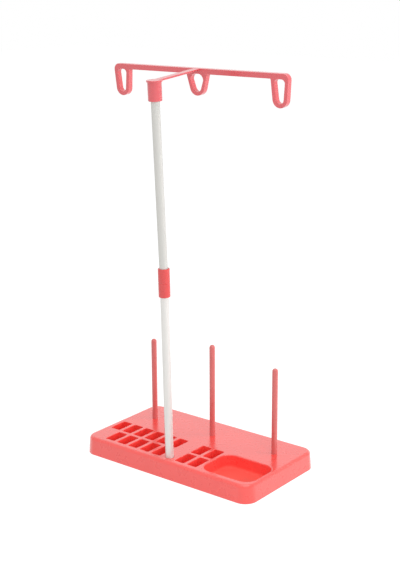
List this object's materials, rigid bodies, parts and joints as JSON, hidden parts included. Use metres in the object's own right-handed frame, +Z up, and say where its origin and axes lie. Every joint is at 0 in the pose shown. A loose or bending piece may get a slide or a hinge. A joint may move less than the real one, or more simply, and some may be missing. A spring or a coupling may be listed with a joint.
{
  "type": "thread spool stand",
  "caption": "Low moulded base with upright spool pins, bobbin slots and a tray, and a tall two-tube mast that carries a T-shaped thread guide with hanging loops.",
  "frame": {"origin": "on the surface that the stand rests on, below the middle of the whole stand's bounding box", "axes": "+Z up, +X along the base towards the tray's end, -Y towards the long side where the mast stands"},
  "size_m": [0.19, 0.1134, 0.3562],
  "materials": {
    "base_plastic": "glossy moulded plastic",
    "pin_plastic": "glossy moulded plastic",
    "connector_plastic": "glossy moulded plastic",
    "guide_plastic": "glossy moulded plastic",
    "tube_metal": "bright drawn metal tube"
  },
  "bodies": {
    "base": {"base": "base_plastic"},
    "pin_left": {"spool_pin_left": "pin_plastic"},
    "pin_middle": {"spool_pin_middle": "pin_plastic"},
    "pin_right": {"spool_pin_right": "pin_plastic"},
    "mast_lower": {"lower_tube": "tube_metal"},
    "connector": {"tube_connector": "connector_plastic"},
    "mast_upper": {"upper_tube": "tube_metal"},
    "guide": {"thread_guide": "guide_plastic"}
  },
  "joints": [
    {"name": "left_pin_pull", "type": "slide", "parent": "base", "child": "pin_left", "axis": [0, 0, 1], "range_m": [0, 0.0117]},
    {"name": "middle_pin_pull", "type": "slide", "parent": "base", "child": "pin_middle", "axis": [0, 0, 1], "range_m": [0, 0.0117]},
    {"name": "right_pin_pull", "type": "slide", "parent": "base", "child": "pin_right", "axis": [0, 0, 1], "range_m": [0, 0.0117]},
    {"name": "mast_turn", "type": "hinge", "parent": "base", "child": "mast_lower", "pos_m": [0, -0.03672, 0.0101], "axis": [0, -0.0262, 0.9997], "continuous": true},
    {"name": "connector_pull", "type": "slide", "parent": "mast_lower", "child": "connector", "axis": [0, -0.0262, 0.9997], "range_m": [0, 0.0115]},
    {"name": "upper_tube_pull", "type": "slide", "parent": "connector", "child": "mast_upper", "axis": [0, -0.0523, 0.9986], "range_m": [0, 0.0115]},
    {"name": "guide_swivel", "type": "hinge", "parent": "mast_upper", "child": "guide", "pos_m": [0, -0.04131, 0.18521], "axis": [0, -0.0523, 0.9986], "continuous": true}
  ]
}
